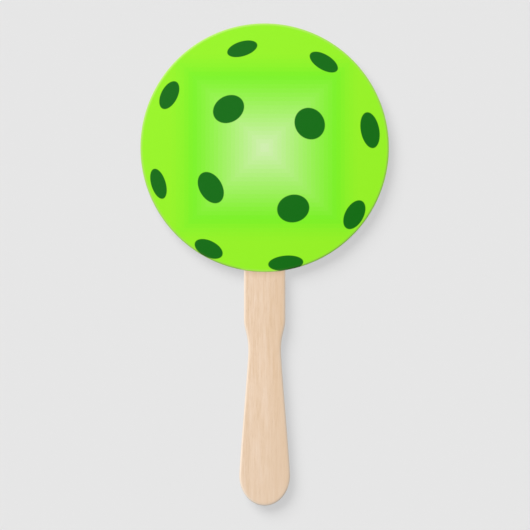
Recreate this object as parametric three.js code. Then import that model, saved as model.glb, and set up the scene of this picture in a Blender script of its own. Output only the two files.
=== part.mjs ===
// A round paddle hand fan: two printed cards bonded to a spacer board, on a flat wooden stick.
// Millimetres. The fan stands upright: +Z runs up the stick, +X is to the right, and the front
// card faces -Y. The origin is the middle of the stick's lower end.

import * as THREE from 'three';

// ---- Driving dimensions ----

const HEAD_RADIUS = 100;
const STICK_LENGTH = 254;
const STICK_SHOWING = 188; // from the stick's lower end to the head's lowest point
const HEAD_CENTRE_Z = STICK_SHOWING + HEAD_RADIUS;

// Thicknesses are multiples of 1/8 mm, so that faces which touch share exactly one plane.
const STICK_THICKNESS = 2;
const ADHESIVE_THICKNESS = 0.125;
const CARD_THICKNESS = 0.375;

// The stick's outline: a straight neck, a shoulder, a waist and a grip that widens to a round end.
const NECK_HALF_WIDTH = 16.6;
const WAIST_HALF_WIDTH = 13.1;
const GRIP_HALF_WIDTH = 20.3;
const SHOULDER_TOP_Z = 150;
const WAIST_Z = 124;
const GRIP_Z = 24; // the grip is widest here, and below it ends in half an ellipse
const TANG_CORNER_RADIUS = 5;

// How far each curve of the outline runs straight up or down before it bends.
const SHOULDER_EASE = 9;
const WAIST_EASE_ABOVE = 15;
const WAIST_EASE_BELOW = 9.5;
const GRIP_EASE = 11;

// The stick's sanded edges, as a quarter ellipse.
const EDGE_ROUND_WIDTH = 0.8;
const EDGE_ROUND_DEPTH = 0.625;
const EDGE_ROUND_STEPS = 3;

const SLOT_CLEARANCE = 0.3; // between the stick and the board, at the sides and the top

const RIM_STEPS = 180;
const CORNER_STEPS = 8;
const GRIP_END_STEPS = 32;
const BEND_STEPS = 16;

// ---- Shapes ----

// Outlines are drawn as (x, z). Standing one up turns its extrusion from +Z to -Y, so a plate of
// this thickness ends at the given back face.
function standUp(geometry, backY) {
  geometry.rotateX(Math.PI / 2);
  geometry.translate(0, backY, 0);
  return geometry;
}

function arc(centreX, centreZ, radius, from, to, steps) {
  return new THREE.EllipseCurve(centreX, centreZ, radius, radius, from, to, to < from).getPoints(steps);
}

// A bend that leaves its start and reaches its end running straight up or down.
function bend(startX, startZ, startEase, endX, endZ, endEase) {
  const upwards = Math.sign(endZ - startZ);
  return new THREE.CubicBezierCurve(
    new THREE.Vector2(startX, startZ),
    new THREE.Vector2(startX, startZ + upwards * startEase),
    new THREE.Vector2(endX, endZ - upwards * endEase),
    new THREE.Vector2(endX, endZ),
  ).getPoints(BEND_STEPS);
}

function discPlate(thickness, backY) {
  const outline = new THREE.Shape(arc(0, HEAD_CENTRE_Z, HEAD_RADIUS, 0, 2 * Math.PI, RIM_STEPS));
  return standUp(new THREE.ExtrudeGeometry(outline, { depth: thickness, bevelEnabled: false }), backY);
}

function mirrored(points) {
  return points.map((point) => new THREE.Vector2(-point.x, point.y)).reverse();
}

// The stick's right side, from the widest part of the grip up to the middle of the tang's end.
function stickRightSide() {
  const cornerX = NECK_HALF_WIDTH - TANG_CORNER_RADIUS;
  const cornerZ = STICK_LENGTH - TANG_CORNER_RADIUS;
  return [
    ...bend(GRIP_HALF_WIDTH, GRIP_Z, GRIP_EASE, WAIST_HALF_WIDTH, WAIST_Z, WAIST_EASE_BELOW),
    ...bend(
      WAIST_HALF_WIDTH, WAIST_Z, WAIST_EASE_ABOVE,
      NECK_HALF_WIDTH, SHOULDER_TOP_Z, SHOULDER_EASE,
    ).slice(1),
    ...arc(cornerX, cornerZ, TANG_CORNER_RADIUS, 0, Math.PI / 2, CORNER_STEPS),
  ];
}

function stickGeometry() {
  const rightSide = stickRightSide();
  const roundEnd = new THREE.EllipseCurve(
    0, GRIP_Z, GRIP_HALF_WIDTH, GRIP_Z, Math.PI, 2 * Math.PI,
  ).getPoints(GRIP_END_STEPS);
  const outline = new THREE.Shape([...rightSide, ...mirrored(rightSide), ...roundEnd.slice(1, -1)]);
  const geometry = new THREE.ExtrudeGeometry(outline, {
    depth: STICK_THICKNESS - 2 * EDGE_ROUND_DEPTH,
    bevelThickness: EDGE_ROUND_DEPTH,
    bevelSize: EDGE_ROUND_WIDTH,
    bevelOffset: -EDGE_ROUND_WIDTH,
    bevelSegments: EDGE_ROUND_STEPS,
  });
  return standUp(geometry, STICK_THICKNESS / 2 - EDGE_ROUND_DEPTH);
}

// The spacer board is the whole head less an open slot for the stick's upper end, the tang.
function coreGeometry() {
  const slotHalfWidth = NECK_HALF_WIDTH + SLOT_CLEARANCE;
  const cornerRadius = TANG_CORNER_RADIUS + SLOT_CLEARANCE;
  const cornerX = slotHalfWidth - cornerRadius;
  const cornerZ = STICK_LENGTH + SLOT_CLEARANCE - cornerRadius;
  const mouthAngle = Math.asin(slotHalfWidth / HEAD_RADIUS); // either side of straight down
  const down = -Math.PI / 2;
  const rim = arc(
    0, HEAD_CENTRE_Z, HEAD_RADIUS,
    down + mouthAngle, down + 2 * Math.PI - mouthAngle, RIM_STEPS,
  );
  const rightCorner = arc(cornerX, cornerZ, cornerRadius, Math.PI / 2, 0, CORNER_STEPS);
  const outline = new THREE.Shape([...rim, ...mirrored(rightCorner), ...rightCorner]);
  return standUp(
    new THREE.ExtrudeGeometry(outline, { depth: STICK_THICKNESS, bevelEnabled: false }),
    STICK_THICKNESS / 2,
  );
}

// ---- Materials ----

function material(colour, roughness) {
  return new THREE.MeshStandardMaterial({ color: colour, roughness, metalness: 0 });
}

const printedCard = material(0x9af52d, 0.45);
const birch = material(0xe8cdb0, 0.65);
const whiteBoard = material(0xe9e6dd, 0.9);
const clearAdhesive = material(0xd9d2bd, 0.6);

// ---- The fan, from its front card to its back card ----

const CORE_FACE_Y = STICK_THICKNESS / 2;
const ADHESIVE_FACE_Y = CORE_FACE_Y + ADHESIVE_THICKNESS;
const CARD_FACE_Y = ADHESIVE_FACE_Y + CARD_THICKNESS;

const pieces = [
  ['front_card', discPlate(CARD_THICKNESS, -ADHESIVE_FACE_Y), printedCard],
  ['front_adhesive_sheet', discPlate(ADHESIVE_THICKNESS, -CORE_FACE_Y), clearAdhesive],
  ['core_board', coreGeometry(), whiteBoard],
  ['handle', stickGeometry(), birch],
  ['back_adhesive_sheet', discPlate(ADHESIVE_THICKNESS, ADHESIVE_FACE_Y), clearAdhesive],
  ['back_card', discPlate(CARD_THICKNESS, CARD_FACE_Y), printedCard],
];

const handFan = new THREE.Group();
for (const [name, geometry, pieceMaterial] of pieces) {
  const mesh = new THREE.Mesh(geometry, pieceMaterial);
  mesh.name = name;
  handFan.add(mesh);
}

export default handFan;
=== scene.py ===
"""The looks of a round paddle hand fan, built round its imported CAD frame. Blender 4.5, metres.

The fan stands upright: +Z runs up the stick, +X is to the right and the front card faces -Y.
"""

import math

import bmesh
import bpy
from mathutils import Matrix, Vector, noise


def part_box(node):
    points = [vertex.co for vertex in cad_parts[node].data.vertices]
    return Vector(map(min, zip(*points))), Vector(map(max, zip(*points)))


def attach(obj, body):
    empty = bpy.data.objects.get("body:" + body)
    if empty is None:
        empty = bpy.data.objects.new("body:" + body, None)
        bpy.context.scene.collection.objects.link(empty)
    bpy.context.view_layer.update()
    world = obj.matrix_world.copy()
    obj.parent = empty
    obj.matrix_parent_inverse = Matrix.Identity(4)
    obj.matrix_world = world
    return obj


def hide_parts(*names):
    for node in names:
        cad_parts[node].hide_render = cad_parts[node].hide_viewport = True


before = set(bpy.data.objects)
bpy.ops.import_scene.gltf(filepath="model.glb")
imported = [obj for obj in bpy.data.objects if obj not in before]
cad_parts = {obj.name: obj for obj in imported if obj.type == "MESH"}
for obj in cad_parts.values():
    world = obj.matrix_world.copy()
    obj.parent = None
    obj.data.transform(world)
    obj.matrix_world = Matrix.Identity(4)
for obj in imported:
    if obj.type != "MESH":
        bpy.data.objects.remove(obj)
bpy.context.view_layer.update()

MM = 0.001

# ---- Places, from the frame ----

card_low, card_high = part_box("front_card")
back_low, back_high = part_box("back_card")
board_low, board_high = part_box("core_board")
stick_low, stick_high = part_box("handle")
HEAD_RADIUS = (card_high.x - card_low.x) / 2
HEAD_CENTRE_Z = (card_high.z + card_low.z) / 2
tang = [v.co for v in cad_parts["handle"].data.vertices if v.co.z > card_low.z]
NECK_HALF_WIDTH = max(point.x for point in tang)

# ---- Driving dimensions of the looks ----

RIM_STEPS = 360
CARD_ROLL_WIDTH = 0.8 * MM  # the die rolls the card's edge over by this much
CARD_ROLL_DEPTH = 0.3 * MM
CARD_ROLL_STEPS = 8
BARE_EDGE_WIDTH = 0.05 * MM  # outside this the ink has cracked off the roll, and the paper shows
SCUFF_WIDTH = 2.2 * MM  # inside the rim, over which the ink is rubbed thin
SCUFF_SHARE = 0.5  # how far it is rubbed at the rim itself
BOARD_HOLLOW = 0.15 * MM  # how far the board's cut edge falls in between its faces
BOARD_HOLLOW_STEPS = 3  # from the board's middle to each face
SLOT_OVERRUN = 5 * MM  # how far below the board its slot's cutter reaches

# The die presses the whole head thinner round its rim, but not where the stick fills it.
PRESS_WIDTH = 1.8 * MM
PRESS_SHARE = 0.45  # of the thickness
PRESS_STEPS = 8
PRESS_RETURN = 4 * MM  # beside the stick, over which the pressing grows to its full depth

STICK_ROUND_WIDTH = 2.4 * MM
STICK_ROUND_DEPTH = 0.85 * MM
STICK_ROUND_STEPS = 10
OUTLINE_REFINE = 3  # pieces that each step of a CAD outline is split into
SANDING_WANDER = 0.15  # share by which the width of the stick's rounding wanders
SANDING_PITCH = 14 * MM  # how far apart the wide and narrow places are
GRIP_LENGTH = 110 * MM  # over which the wood is greyed by hands
CARD_SHADOW_REACH = 5.5 * MM  # how far below the cards their painted shadow reaches on the wood

# ---- The printed ball ----
# Its holes are flat ovals. For each, in head radii: how far it is to the right of the card's
# middle and above it, and its half length and half width. Then the turn of its length, in degrees
# anticlockwise from the right.

PRINTED_HOLES = (
    (0.848, 0.14, 0.145, 0.073, 101),
    (0.363, 0.193, 0.13, 0.117, 124),
    (0.476, 0.688, 0.126, 0.06, 149),
    (-0.18, 0.795, 0.124, 0.058, 17),
    (-0.29, 0.31, 0.13, 0.105, 31),
    (-0.767, 0.422, 0.12, 0.065, 63),
    (-0.854, -0.291, 0.124, 0.057, 107),
    (-0.433, -0.322, 0.135, 0.09, 121),
    (-0.45, -0.815, 0.12, 0.065, 154),
    (0.17, -0.93, 0.14, 0.06, 5),
    (0.23, -0.49, 0.129, 0.11, 13),
    (0.722, -0.54, 0.125, 0.073, 61),
)
HOLE_EDGE_SOFTNESS = 0.03  # of a hole's own size
INK_SPREAD = 0.0015  # how far the dark ink creeps past each hole's outline, in head radii

# The square glow in the middle of the print: how far out along the sides of the square (head
# radii), and the colour there (sRGB, 0 to 255).
GLOW = (
    (0.0, (213, 242, 181)),
    (0.575, (126, 244, 33)),
    (0.66, (143, 245, 35)),
    (0.75, (153, 245, 35)),
)
GLOW_STOPS_BETWEEN = 6  # ramp stops from each of these colours to the next
GLOW_STEP = 0.034  # the glow is printed in nested squares, each this much bigger than the last
HOLE_INK = (13, 110, 13)
PAINTED_LIGHT_SLANT = 0.03  # painted light: the print is lighter at its upper left and darker at its lower right
PAINTED_SHEEN_SHARE = 0.006  # painted sheen: white over the print at its upper left

# ---- Other colours, as they show under the front light (sRGB, 0 to 255) ----

RUBBED_INK = (200, 191, 138)  # grubby paper with a trace of ink
PAPER = ((218, 206, 184), (233, 223, 205))
WOOD = ((229, 198, 164), (239, 211, 183), (246, 222, 199))  # dark grain to pale grain
WOOD_PORE = (190, 150, 114)
WOOD_SHADED_RIGHT = (222, 191, 157)  # painted shade, warmer and darker, at the blank's right side
WOOD_HANDLED = (228, 204, 180)  # at the end of the grip
WOOD_IN_CARD_SHADOW = (205, 175, 142)  # painted shadow, just below the cards
# The stick's sanded rounding, with painted highlight on the left and painted shade on the right.
SANDED_LEFT_HIGHLIGHT = (251, 236, 219)
SANDED_RIGHT_SHADE = (229, 208, 186)
BOARD = ((196, 190, 178), (221, 217, 207), (236, 233, 226))
FILM = ((190, 184, 166), (216, 211, 196))
PALE_GREY = (230, 230, 230)  # what the wall, the floor and the world all read
NOISE_RANGE = (0.3, 0.7)  # where most of a noise's values lie

# ---- Light ----

FRONT_LIGHT = 3.107  # W/m2 on the wall, and on every face that is turned to the camera
AMBIENT = 0.06  # radiance from all round
KEY_SHARE = 0.29  # of the front light
WALL_GAP = 7.3 * MM  # from the back card to the wall
STAGE_SIZE = 24.0  # of the wall and of the floor
FLOOR_Z = -0.25  # below all that the camera sees

CAMERA_DISTANCE = 4.0
CAMERA_SENSOR = 36.0
FRAME_WIDTH = 426.4 * MM  # how much the camera sees across, at the fan
FRAME_CENTRE_X = 0.3 * MM
FRAME_CENTRE_Z = 193.55 * MM


# ---- Colour ----

def linear(rgb):
    """Linear numbers, 0 to 1, for an sRGB colour given as 0 to 255."""
    out = []
    for value in rgb:
        value /= 255
        out.append(value / 12.92 if value <= 0.04045 else ((value + 0.055) / 1.055) ** 2.4)
    return out


def albedo(rgb):
    """The surface colour that reads as rgb under the front light."""
    return [*(value * math.pi / FRONT_LIGHT for value in linear(rgb)), 1]


def mixed(low, high, share):
    return [a + (b - a) * share for a, b in zip(low, high, strict=True)]


# ---- Node helpers ----

class Nodes:
    """Builds one material's node tree with few words."""

    def __init__(self, name):
        self.material = bpy.data.materials.new(name)
        self.material.use_nodes = True
        self.tree = self.material.node_tree
        self.tree.nodes.clear()
        self.output = self.tree.nodes.new("ShaderNodeOutputMaterial")

    def add(self, kind, inputs=None, **settings):
        node = self.tree.nodes.new("ShaderNode" + kind)
        for name, value in settings.items():
            setattr(node, name, value)
        for name, value in (inputs or {}).items():
            self.feed(node, name, value)
        return node

    def feed(self, node, name, value):
        if isinstance(value, bpy.types.Node):
            value = value.outputs[0]
        if isinstance(value, bpy.types.NodeSocket):
            self.tree.links.new(value, node.inputs[name])
        else:
            node.inputs[name].default_value = value

    def maths(self, operation, first, second=None, third=None):
        inputs = {i: v for i, v in enumerate((first, second, third)) if v is not None}
        return self.add("Math", inputs, operation=operation)

    def place(self):
        """The point on the piece, in metres."""
        return self.add("TexCoord").outputs["Object"]

    def axes(self, vector):
        """The vector's X, Y and Z."""
        return self.add("SeparateXYZ", {0: vector}).outputs

    def length(self, vector):
        return self.add("VectorMath", {0: vector}, operation="LENGTH").outputs["Value"]

    def noise(self, vector, scale, detail=2.0, roughness=0.5, stretch=(1, 1, 1), shift=(0, 0, 0)):
        """Noise with about scale features a metre, stretched along an axis by a share under 1."""
        mapping = self.add("Mapping", {"Vector": vector, "Scale": stretch, "Location": shift})
        inputs = {"Vector": mapping, "Scale": scale, "Detail": detail, "Roughness": roughness}
        return self.add("TexNoise", inputs).outputs["Fac"]

    def ramp(self, factor, stops):
        """A colour ramp through (position, linear RGBA) stops."""
        node = self.add("ValToRGB", {"Fac": factor})
        elements = node.color_ramp.elements
        while len(elements) > 1:
            elements.remove(elements[-1])
        elements[0].position, elements[0].color = stops[0]
        for position, colour in stops[1:]:
            elements.new(position).color = colour
        return node.outputs["Color"]

    def shades(self, factor, positions, colours):
        """A colour ramp with these colours, as they show, at these positions."""
        stops = zip(positions, colours, strict=True)
        return self.ramp(factor, [(position, albedo(colour)) for position, colour in stops])

    def mix(self, factor, first, second, blend="MIX"):
        node = self.add("Mix", data_type="RGBA", blend_type=blend, clamp_result=False)
        for index, value in ((0, factor), (6, first), (7, second)):
            self.feed(node, index, value)
        return node.outputs[2]

    def between(self, value, low, high, to_low=0.0, to_high=1.0, smooth=False):
        """How far value is from low to high, put between to_low and to_high."""
        kind = "SMOOTHSTEP" if smooth else "LINEAR"
        inputs = {0: value, 1: low, 2: high, 3: to_low, 4: to_high}
        return self.add("MapRange", inputs, interpolation_type=kind).outputs[0]

    def bump(self, height, distance, strength=1.0, under=None):
        inputs = {"Height": height, "Distance": distance, "Strength": strength}
        if under is not None:
            inputs["Normal"] = under
        return self.add("Bump", inputs).outputs[0]

    def surface(self, colour, roughness, normal, specular=0.5):
        inputs = {"Base Color": colour, "Roughness": roughness, "Normal": normal}
        shader = self.add("BsdfPrincipled", {**inputs, "Specular IOR Level": specular})
        self.tree.links.new(shader.outputs[0], self.output.inputs["Surface"])
        return self.material


# ---- Printed card ----

def glow_stops():
    """The glow's ramp, with stops close enough that it runs straight in sRGB, as print does."""
    stops = []
    for (start, first), (end, last) in zip(GLOW, GLOW[1:]):
        for i in range(GLOW_STOPS_BETWEEN):
            share = i / GLOW_STOPS_BETWEEN
            stops.append((start + (end - start) * share, albedo(mixed(first, last, share))))
    stops.append((GLOW[-1][0], albedo(GLOW[-1][1])))
    return stops


def printed_glow(nodes, across, up):
    """The light ink: nested squares round the middle of the card."""
    square = nodes.maths("MAXIMUM", nodes.maths("ABSOLUTE", across), nodes.maths("ABSOLUTE", up))
    stepped = nodes.maths("ADD", nodes.maths("SNAP", square, GLOW_STEP), GLOW_STEP / 2)
    return nodes.ramp(stepped, glow_stops())


def printed_holes(nodes, flat):
    """1 in the printed holes and 0 outside them."""
    nearest = None
    for right, above, half_length, half_width, turn in PRINTED_HOLES:
        place = {
            "Vector": flat,
            "Location": (right, above, 0),
            "Rotation": (0, 0, math.radians(turn)),
            "Scale": (half_length + INK_SPREAD, half_width + INK_SPREAD, 1),
        }
        own = nodes.length(nodes.add("Mapping", place, vector_type="TEXTURE"))
        nearest = own if nearest is None else nodes.maths("MINIMUM", nearest, own)
    soft = HOLE_EDGE_SOFTNESS
    return nodes.between(nearest, 1 - soft, 1 + soft, 1, 0, smooth=True)


def uneven_ink_and_painted_light(nodes, place, ink, light_slant):
    """Ink lies a little unevenly in the paper's tooth. Painted light makes it lighter at the upper
    left and darker at the lower right, with a painted sheen of white at the upper left.
    """
    mottle = nodes.between(nodes.noise(place, 1400, detail=3), *NOISE_RANGE, 0.985, 1.015)
    tone = nodes.maths("ADD", mottle, light_slant)
    ink = nodes.mix(1.0, ink, nodes.add("CombineColor", {0: tone, 1: tone, 2: tone}), "MULTIPLY")
    # Painted sheen: white laid over the upper left of the print.
    painted_sheen = nodes.between(light_slant, -PAINTED_LIGHT_SLANT, PAINTED_LIGHT_SLANT, to_high=PAINTED_SHEEN_SHARE)
    return nodes.mix(painted_sheen, ink, (1, 1, 1, 1))


def rubbing_and_highlight(nodes, place, inset, hole, light_slant):
    """How far the ink is rubbed off near the rim: unevenly, and more at the upper left, where the
    paler rim is also a painted highlight. The dark ink is laid on thicker, and lasts."""
    scuffed_and_highlit = nodes.between(inset, 0, SCUFF_WIDTH, SCUFF_SHARE, 0)
    patchy = nodes.between(nodes.noise(place, 1100, detail=3), *NOISE_RANGE, 0.75, 1.25)
    # Painted highlight: the rim is rubbed paler towards the upper left, where the light falls.
    share_by_place = nodes.between(light_slant, -PAINTED_LIGHT_SLANT, PAINTED_LIGHT_SLANT, 0.6, 1.1)
    thin_ink = nodes.between(hole, 0, 1, 1, 0.15)
    for share in (patchy, share_by_place, thin_ink):
        scuffed_and_highlit = nodes.maths("MULTIPLY", scuffed_and_highlit, share)
    return scuffed_and_highlit


def coated_surface(nodes, place, colour, bare):
    """The card's satin coat, dull where the paper is bare, over its tooth and a slow ripple."""
    ripple = nodes.bump(nodes.noise(place, 160, detail=1), 0.05 * MM, strength=0.15)
    tooth = nodes.noise(place, 3200, detail=3)
    normal = nodes.bump(tooth, 0.006 * MM, strength=0.35, under=ripple)
    satin = nodes.between(nodes.noise(place, 500), *NOISE_RANGE, 0.36, 0.44)
    return nodes.surface(colour, nodes.between(bare, 0, 1, satin, 0.9), normal, specular=0.4)


def printed_card(name, right):
    """Coated card, printed with the ball, and bare white paper on its cut edge. right is 1 where
    the print's right is towards +X, and -1 on the back card, which is read from behind."""
    nodes = Nodes(name)
    place = nodes.place()
    axes = nodes.axes(place)
    across = nodes.maths("DIVIDE", axes["X"], right * HEAD_RADIUS)
    up = nodes.maths("DIVIDE", nodes.maths("SUBTRACT", axes["Z"], HEAD_CENTRE_Z), HEAD_RADIUS)
    flat = nodes.add("CombineXYZ", {"X": across, "Y": up})
    hole = printed_holes(nodes, flat)
    # The painted light runs from the lower right of the print, in painted shade, to its upper left,
    # painted lighter.
    light_slant = nodes.between(nodes.maths("SUBTRACT", up, across), -1.3, 1.3, -PAINTED_LIGHT_SLANT, PAINTED_LIGHT_SLANT)
    ink = nodes.mix(hole, printed_glow(nodes, across, up), albedo(HOLE_INK))
    ink = uneven_ink_and_painted_light(nodes, place, ink, light_slant)

    # Wear: the ink is rubbed thin near the rim, and has cracked right off the cut edge. The rubbed
    # rim is paler at the upper left as a painted highlight.
    inset = nodes.maths("MULTIPLY", nodes.maths("SUBTRACT", 1.0, nodes.length(flat)), HEAD_RADIUS)
    scuffed_and_highlit = rubbing_and_highlight(nodes, place, inset, hole, light_slant)
    cracked = nodes.between(inset, BARE_EDGE_WIDTH, 1.5 * BARE_EDGE_WIDTH, 1, 0)
    fibres = nodes.noise(place, 2600, detail=4, stretch=(1, 0.4, 1))
    colour = nodes.mix(scuffed_and_highlit, ink, albedo(RUBBED_INK))
    colour = nodes.mix(cracked, colour, nodes.shades(fibres, NOISE_RANGE, PAPER))
    return coated_surface(nodes, place, colour, nodes.maths("MAXIMUM", scuffed_and_highlit, cracked))


# ---- The other materials ----

def sanded_edge_and_painted_light(nodes, colour, x):
    """Sanding has left the stick's rounding paler, with a painted highlight on the left and painted
    shade greying it on the right, and its sides as they were cut."""
    across = nodes.between(x, stick_low.x, stick_high.x)
    # Painted highlight on the left rounding, painted shade on the right one.
    edge = nodes.mix(across, albedo(SANDED_LEFT_HIGHLIGHT), albedo(SANDED_RIGHT_SHADE))
    turned = nodes.axes(nodes.add("NewGeometry").outputs["Normal"])
    flatness = nodes.maths("ABSOLUTE", turned["Y"])  # 1 on the two faces and 0 on the sides
    off_face = nodes.between(flatness, 0.998, 0.95, to_high=0.75)
    off_side = nodes.between(flatness, 0.4, 0.75)
    return nodes.mix(nodes.maths("MULTIPLY", off_face, off_side), colour, edge)


def stained_and_shaded(nodes, axes, colour):
    """Painted shade makes the blank's right side a little warmer and darker, away from the key light,
    and darkens the wood just below the cards as their shadow. Its grip is greyer from handling."""
    # Painted shade: the right side darker and warmer, away from the key light.
    side = nodes.between(axes["X"], 0.4 * stick_low.x, stick_high.x, to_high=0.62)
    colour = nodes.mix(side, colour, albedo(WOOD_SHADED_RIGHT))
    share_by_place = nodes.between(axes["Z"], GRIP_LENGTH, 0, to_high=0.35)
    colour = nodes.mix(share_by_place, colour, albedo(WOOD_HANDLED))
    # Painted shadow of the cards on the wood just below them.
    above = nodes.maths("SUBTRACT", axes["Z"], HEAD_CENTRE_Z)
    radius = nodes.length(nodes.add("CombineXYZ", {"X": axes["X"], "Y": above}))
    card_shadow = nodes.between(radius, HEAD_RADIUS + CARD_SHADOW_REACH, HEAD_RADIUS, to_high=0.5)
    return nodes.mix(card_shadow, colour, albedo(WOOD_IN_CARD_SHADOW))


def birch():
    """Sanded, unvarnished birch, with its grain along Z."""
    nodes = Nodes("birch")
    place = nodes.place()
    axes = nodes.axes(place)
    bands = nodes.noise(place, 130, detail=2, stretch=(1, 1, 0.05), shift=(0.1, 0, 0))
    streaks = nodes.noise(place, 420, detail=3, stretch=(1, 1, 0.06), shift=(0.3, 0, 0.1))
    flecks = nodes.noise(place, 760, detail=2, stretch=(1, 1, 0.13), shift=(0.6, 0.2, 0))
    fine = nodes.noise(place, 2600, detail=5, roughness=0.65, stretch=(1, 1, 0.025))
    tone = nodes.maths("MULTIPLY", streaks, 0.33)
    for layer, weight in ((bands, 0.12), (flecks, 0.2), (fine, 0.35)):
        tone = nodes.maths("MULTIPLY_ADD", layer, weight, tone)
    colour = nodes.shades(nodes.between(tone, 0.38, 0.62), (0.0, 0.5, 1.0), WOOD)

    # Pores: short dark lines along the grain.
    pores = nodes.noise(place, 4800, detail=1, stretch=(1, 1, 0.035), shift=(0.2, 0.5, 0.9))
    pore = nodes.between(pores, 0.62, 0.72, smooth=True)
    colour = nodes.mix(nodes.maths("MULTIPLY", pore, 0.35), colour, albedo(WOOD_PORE))

    colour = sanded_edge_and_painted_light(nodes, stained_and_shaded(nodes, axes, colour), axes["X"])

    relief = nodes.maths("MULTIPLY_ADD", pore, -0.8, nodes.maths("MULTIPLY", fine, 0.6))
    ridges = nodes.bump(streaks, 0.03 * MM, strength=0.4)
    normal = nodes.bump(relief, 0.03 * MM, strength=0.5, under=ridges)
    return nodes.surface(colour, nodes.between(fine, *NOISE_RANGE, 0.42, 0.54), normal)


def board_edge():
    """The cut edge of white board: long pressed fibres in thin layers."""
    nodes = Nodes("white_board")
    place = nodes.place()
    layers = nodes.noise(place, 2400, detail=3, stretch=(0.08, 1, 0.08))
    fibres = nodes.noise(place, 1500, detail=4, roughness=0.7)
    blend = nodes.maths("MULTIPLY_ADD", layers, 0.6, nodes.maths("MULTIPLY", fibres, 0.4))
    colour = nodes.shades(blend, (0.35, 0.5, 0.68), BOARD)
    normal = nodes.bump(blend, 0.08 * MM, strength=0.6)
    return nodes.surface(colour, 0.92, normal, specular=0.2)


def adhesive_edge():
    """The edge of a clear mounting film with glue on both faces."""
    nodes = Nodes("mounting_film")
    smears = nodes.noise(nodes.place(), 700, detail=3)
    colour = nodes.shades(smears, NOISE_RANGE, FILM)
    roughness = nodes.between(smears, *NOISE_RANGE, 0.25, 0.5)
    return nodes.surface(colour, roughness, nodes.bump(smears, 0.02 * MM, strength=0.4))


def stage_grey():
    """Pale grey that only the camera sees, and only from its front, so that it takes shadows but
    hides nothing from behind, and neither blocks light nor throws any back. It fades out where it
    is seen almost edge on."""
    nodes = Nodes("stage_grey")
    diffuse = nodes.add("BsdfDiffuse", {"Color": albedo(PALE_GREY)})
    clear = nodes.add("BsdfTransparent")
    seen = nodes.add("LightPath").outputs["Is Camera Ray"]
    geometry = nodes.add("NewGeometry")
    front = nodes.maths("SUBTRACT", 1.0, geometry.outputs["Backfacing"])
    faces = {0: geometry.outputs["Normal"], 1: geometry.outputs["Incoming"]}
    squareness = nodes.add("VectorMath", faces, operation="DOT_PRODUCT").outputs["Value"]
    front = nodes.maths("MULTIPLY", front, nodes.between(squareness, 0.06, 0.2, smooth=True))
    shown = nodes.maths("MULTIPLY", seen, front)
    mix = nodes.add("MixShader", {0: shown, 1: clear, 2: diffuse})
    nodes.tree.links.new(mix.outputs[0], nodes.output.inputs["Surface"])
    return nodes.material


# ---- Outlines, as (x, z) points, anticlockwise as seen from the front ----

def circle(radius):
    """A circle round the middle of the head."""
    turns = [2 * math.pi * i / RIM_STEPS for i in range(RIM_STEPS)]
    return [Vector((radius * math.cos(t), HEAD_CENTRE_Z + radius * math.sin(t))) for t in turns]


def mirrored(points):
    return [Vector((-p.x, p.y)) for p in reversed(points)]


def refined(points):
    """A smooth curve through the points with OUTLINE_REFINE steps between them."""
    lengths = [(b - a).length for a, b in zip(points, points[1:])]
    slopes = [(b - a) / length for a, b, length in zip(points, points[1:], lengths)]
    # A long straight run sets the direction of the curve that it leads into.
    turns = [slopes[0]]
    for i in range(1, len(slopes)):
        near = slopes[i - 1] * lengths[i - 1] + slopes[i] * lengths[i]
        turns.append(near / (lengths[i - 1] + lengths[i]))
    turns.append(slopes[-1])
    # A cubic curve joins each pair of points, and leaves and reaches them in their directions.
    out = []
    for i, length in enumerate(lengths):
        for step in range(OUTLINE_REFINE):
            t = step / OUTLINE_REFINE
            here = points[i] * (2 * t**3 - 3 * t**2 + 1) + points[i + 1] * (3 * t**2 - 2 * t**3)
            leaving = turns[i] * (t**3 - 2 * t**2 + t) + turns[i + 1] * (t**3 - t**2)
            out.append(here + leaving * length)
    return [*out, points[-1]]


def cad_points(node, keep):
    """The distinct (x, z) points of a CAD node's mesh that keep accepts, on its right side."""
    places = (vert.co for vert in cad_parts[node].data.vertices)
    found = {(round(p.x, 6), round(p.z, 6)) for p in places if keep(p)}  # to a micrometre
    return [Vector(point) for point in found if point[0] > -1e-6]


def stick_outline():
    """The CAD stick's own outline, at its widest, from the lowest point and round."""
    depths = {round(abs(vert.co.y), 6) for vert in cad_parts["handle"].data.vertices}
    wall_y = min(depths)  # the CAD stick is widest on its straight wall, nearest its middle
    wall = cad_points("handle", lambda p: abs(abs(p.y) - wall_y) < 0.01 * MM)
    right = refined(sorted(wall, key=lambda p: (p.y, p.x)))
    return [*right, *mirrored(right)[:-1]]


def slot_outline():
    """The CAD board's slot, carried on down past the rim."""
    centre = Vector((0, HEAD_CENTRE_Z))
    well_inside = 0.98 * HEAD_RADIUS  # so that the points on the rim are left out
    slot = cad_points("core_board", lambda p: (p.xz - centre).length < well_inside)
    slot.sort(key=lambda p: (p.y, -p.x))
    below = Vector((max(p.x for p in slot), board_low.z - SLOT_OVERRUN))
    right = [below, *slot]
    return [*right, *mirrored(right)]


# ---- Meshes ----

def outward(outline):
    """The unit vector out of the outline at each of its points."""
    out = []
    for i, _ in enumerate(outline):
        along = outline[(i + 1) % len(outline)] - outline[i - 1]
        out.append(Vector((along.y, -along.x)).normalized())
    return out


def rounded(width, depth, steps, face_y, inner_y):
    """(how far inside the outline, y) down a rounded edge, from the face towards inner_y."""
    turns = [math.pi / 2 * i / steps for i in range(steps + 1)]
    down = math.copysign(depth, inner_y - face_y)
    return [(width * (1 - math.sin(t)), face_y + down * (1 - math.cos(t))) for t in turns]


def add_object(name, bm, material):
    """Ends a bmesh, and adds it to the scene as an object with this material."""
    mesh = bpy.data.meshes.new(name)
    bm.to_mesh(mesh)
    bm.free()
    mesh.materials.append(material)
    added = bpy.data.objects.new(name, mesh)
    bpy.context.scene.collection.objects.link(added)
    return added


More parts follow.
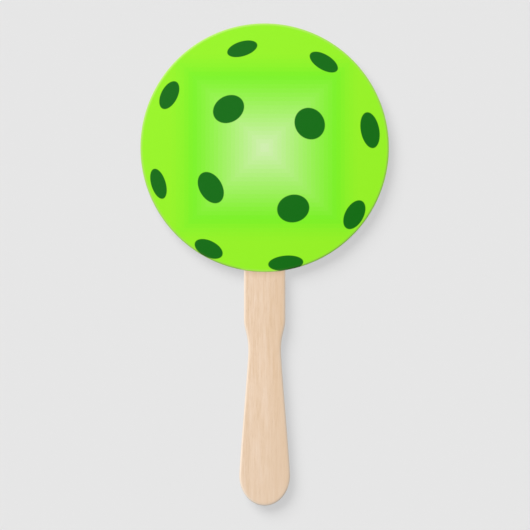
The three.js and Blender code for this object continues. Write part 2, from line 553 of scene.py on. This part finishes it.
def plate(name, outline, profile, material, wander=0.0):
    """A closed plate. Its profile is a list of (how far inside the outline, y), face to face, and
    wander is the share by which the first of those varies along the outline."""
    normals = outward(outline)
    widths = [1 + wander * noise.noise(Vector((p.x, 0, p.y)) / SANDING_PITCH) for p in outline]
    bm = bmesh.new()
    rows = []
    for inset, y in profile:
        ring = [p - n * inset * w for p, n, w in zip(outline, normals, widths, strict=True)]
        rows.append([bm.verts.new((p.x, y, p.y)) for p in ring])
    for row, following in zip(rows, rows[1:]):
        for i, vert in enumerate(row):
            bm.faces.new((row[i - 1], vert, following[i], following[i - 1])).smooth = True
    bm.faces.new(rows[0])  # the two flat faces stay flat shaded
    bm.faces.new(rows[-1])
    bmesh.ops.recalc_face_normals(bm, faces=bm.faces)
    return add_object(name, bm, material)


def stands_for(piece, node):
    """The piece takes the CAD node's place in what is seen, and its body."""
    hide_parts(node)
    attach(piece, "root")
    return piece


def press(piece):
    """Presses a plate of the head thinner round its rim, towards the middle of the thickness."""
    for vert in piece.data.vertices:
        across, up = vert.co.x, vert.co.z - HEAD_CENTRE_Z
        inside = (HEAD_RADIUS - math.hypot(across, up)) / PRESS_WIDTH
        depth = (1 - min(max(inside, 0), 1)) ** 2
        beside = (abs(across) - NECK_HALF_WIDTH) / PRESS_RETURN if up < 0 else 1
        free = min(max(beside, 0), 1)  # 0 over the stick and 1 well clear of it
        vert.co.y *= 1 - PRESS_SHARE * depth * free * free * (3 - 2 * free)
    piece.data.update()


def flat_rings(y):
    """Rings close enough together, near the rim, for the face at y to be pressed in a curve."""
    return [(PRESS_WIDTH * (1 - i / PRESS_STEPS), y) for i in range(PRESS_STEPS + 1)]


def head_plate(name, node, profile, material):
    """A round plate of the head, pressed round its rim."""
    piece = plate(name, circle(HEAD_RADIUS), profile, material)
    press(piece)
    return stands_for(piece, node)


def build_card(name, node, printed_y, glued_y):
    """One card, with its printed face at printed_y and its edge rolled away from that face."""
    rolled = rounded(CARD_ROLL_WIDTH, CARD_ROLL_DEPTH, CARD_ROLL_STEPS, printed_y, glued_y)
    flat = [ring for ring in flat_rings(printed_y) if ring[0] > CARD_ROLL_WIDTH]
    profile = [*flat, *rolled, *reversed(flat_rings(glued_y))]
    right = 1 if printed_y < glued_y else -1
    return head_plate(name, node, profile, printed_card(name, right))


def build_film(name, node, material):
    low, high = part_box(node)
    profile = [*flat_rings(low.y), *reversed(flat_rings(high.y))]
    return head_plate(name, node, profile, material)


def build_stick():
    shape = (STICK_ROUND_WIDTH, STICK_ROUND_DEPTH, STICK_ROUND_STEPS)
    front = rounded(*shape, stick_low.y, stick_high.y)
    back = rounded(*shape, stick_high.y, stick_low.y)
    stick = plate("birch_stick", stick_outline(), [*front, *reversed(back)], birch(), SANDING_WANDER)
    return stands_for(stick, "handle")


def cut_slot(board):
    """Cuts the slot for the stick through the board."""
    span = board_high.y - board_low.y
    cutter = plate("slot_cutter", slot_outline(), [(0, -span), (0, span)], board.data.materials[0])
    cut = board.modifiers.new("slot", "BOOLEAN")
    cut.operation = "DIFFERENCE"
    cut.solver = "EXACT"
    cut.object = cutter
    uncut = board.data
    as_cut = board.evaluated_get(bpy.context.evaluated_depsgraph_get())
    board.data = bpy.data.meshes.new_from_object(as_cut)
    board.data.name = board.name
    board.modifiers.clear()
    bpy.data.meshes.remove(uncut)
    bpy.data.meshes.remove(cutter.data)  # takes its object with it


def build_board():
    """The spacer board. Its cut edge is a little hollow, because its faces are its firmest layers."""
    half = board_high.y
    shares = [i / BOARD_HOLLOW_STEPS for i in range(1 - BOARD_HOLLOW_STEPS, BOARD_HOLLOW_STEPS)]
    hollow = [(BOARD_HOLLOW * (1 - share**4), half * share) for share in shares]
    profile = [*flat_rings(-half), *hollow, *reversed(flat_rings(half))]
    board = head_plate("spacer_board", "core_board", profile, board_edge())
    cut_slot(board)
    return board


# ---- Stage, light and camera ----

def stage_sheet(name, centre, across, up, material):
    """A flat sheet whose front is where across x up points."""
    bm = bmesh.new()
    corners = ((-1, -1), (1, -1), (1, 1), (-1, 1))
    half = STAGE_SIZE / 2
    bm.faces.new([bm.verts.new(centre + (across * a + up * b) * half) for a, b in corners])
    add_object(name, bm, material)


def build_stage():
    right, backwards, upwards = Vector((1, 0, 0)), Vector((0, 1, 0)), Vector((0, 0, 1))
    grey = stage_grey()
    stage_sheet("pale_wall", backwards * (back_high.y + WALL_GAP), right, upwards, grey)
    stage_sheet("pale_floor", upwards * FLOOR_Z, right, backwards, grey)


def add_sun(name, towards, strength, width, plain=False):
    """Even light from far off. towards is a unit vector to the light, and width is its size in
    degrees. A plain light leaves no highlights and no shadows."""
    lamp = bpy.data.lights.new(name, "SUN")
    lamp.energy = strength
    lamp.angle = math.radians(width)
    lamp.use_shadow = not plain
    sun = bpy.data.objects.new(name, lamp)
    sun.rotation_mode = "QUATERNION"
    sun.rotation_quaternion = towards.to_track_quat("Z", "Y")
    sun.visible_glossy = not plain
    bpy.context.scene.collection.objects.link(sun)


def build_lights():
    """A soft key from the upper left, a fill from the camera, and light for the sides and back
    that never falls on the front or on the wall. The top light makes up the floor's share, so
    that the floor reads as the wall does."""
    surround = AMBIENT * math.pi
    key = Vector((-0.45, -0.676, 0.584))
    fill = Vector((-0.22, -0.937, 0.27))
    top = Vector((0, 0, 1))
    # For each: its name, the way to it, its strength (W/m2), its width (degrees), and if it's plain.
    suns = [
        ("key", key, FRONT_LIGHT * KEY_SHARE / -key.y, 42, False),
        ("fill", fill, (FRONT_LIGHT * (1 - KEY_SHARE) - surround) / -fill.y, 6, True),
        ("side", Vector((-0.975, 0.18, 0.13)), 0.6, 14, False),
        ("back", Vector((-0.45, 0.78, 0.43)), 1.8, 30, False),
        ("right", Vector((0.86, 0.5, 0.1)), 2.6, 20, True),
    ]
    on_floor = surround + sum(towards.z * strength for _, towards, strength, _, _ in suns)
    for sun in [*suns, ("top", top, FRONT_LIGHT - on_floor, 6, False)]:
        add_sun(*sun)


def build_world():
    """The camera sees the stage's own grey past the stage, and the object gets a faint surround."""
    world = bpy.data.worlds.new("surround")
    world.use_nodes = True
    tree = world.node_tree
    tree.nodes.clear()
    seen = tree.nodes.new("ShaderNodeBackground")
    seen.inputs["Color"].default_value = [*linear(PALE_GREY), 1]
    lit = tree.nodes.new("ShaderNodeBackground")
    lit.inputs["Color"].default_value = (AMBIENT, AMBIENT, AMBIENT, 1)
    path = tree.nodes.new("ShaderNodeLightPath")
    mix = tree.nodes.new("ShaderNodeMixShader")
    output = tree.nodes.new("ShaderNodeOutputWorld")
    tree.links.new(path.outputs["Is Camera Ray"], mix.inputs[0])
    tree.links.new(lit.outputs[0], mix.inputs[1])
    tree.links.new(seen.outputs[0], mix.inputs[2])
    tree.links.new(mix.outputs[0], output.inputs["Surface"])
    bpy.context.scene.world = world


def build_camera():
    """Square on to the front card, from far enough off that the view hardly narrows."""
    data = bpy.data.cameras.new("camera")
    data.sensor_width = CAMERA_SENSOR
    data.lens = CAMERA_SENSOR * CAMERA_DISTANCE / FRAME_WIDTH
    data.clip_end = 10 * CAMERA_DISTANCE
    camera = bpy.data.objects.new("camera", data)
    camera.location = (FRAME_CENTRE_X, card_low.y - CAMERA_DISTANCE, FRAME_CENTRE_Z)
    camera.rotation_euler = (math.radians(90), 0, 0)
    bpy.context.scene.collection.objects.link(camera)
    bpy.context.scene.camera = camera


# ---- The fan ----

def build_fan():
    film = adhesive_edge()
    return [
        build_card("front_printed_card", "front_card", card_low.y, card_high.y),
        build_card("back_printed_card", "back_card", back_high.y, back_low.y),
        build_stick(),
        build_board(),
        build_film("front_mounting_film", "front_adhesive_sheet", film),
        build_film("back_mounting_film", "back_adhesive_sheet", film),
    ]


for piece in build_fan():
    piece.visible_diffuse = False  # so that the fan's own bounced light leaves the wall alone
build_stage()
build_lights()
build_world()
build_camera()
bpy.context.scene.view_settings.view_transform = "Standard"
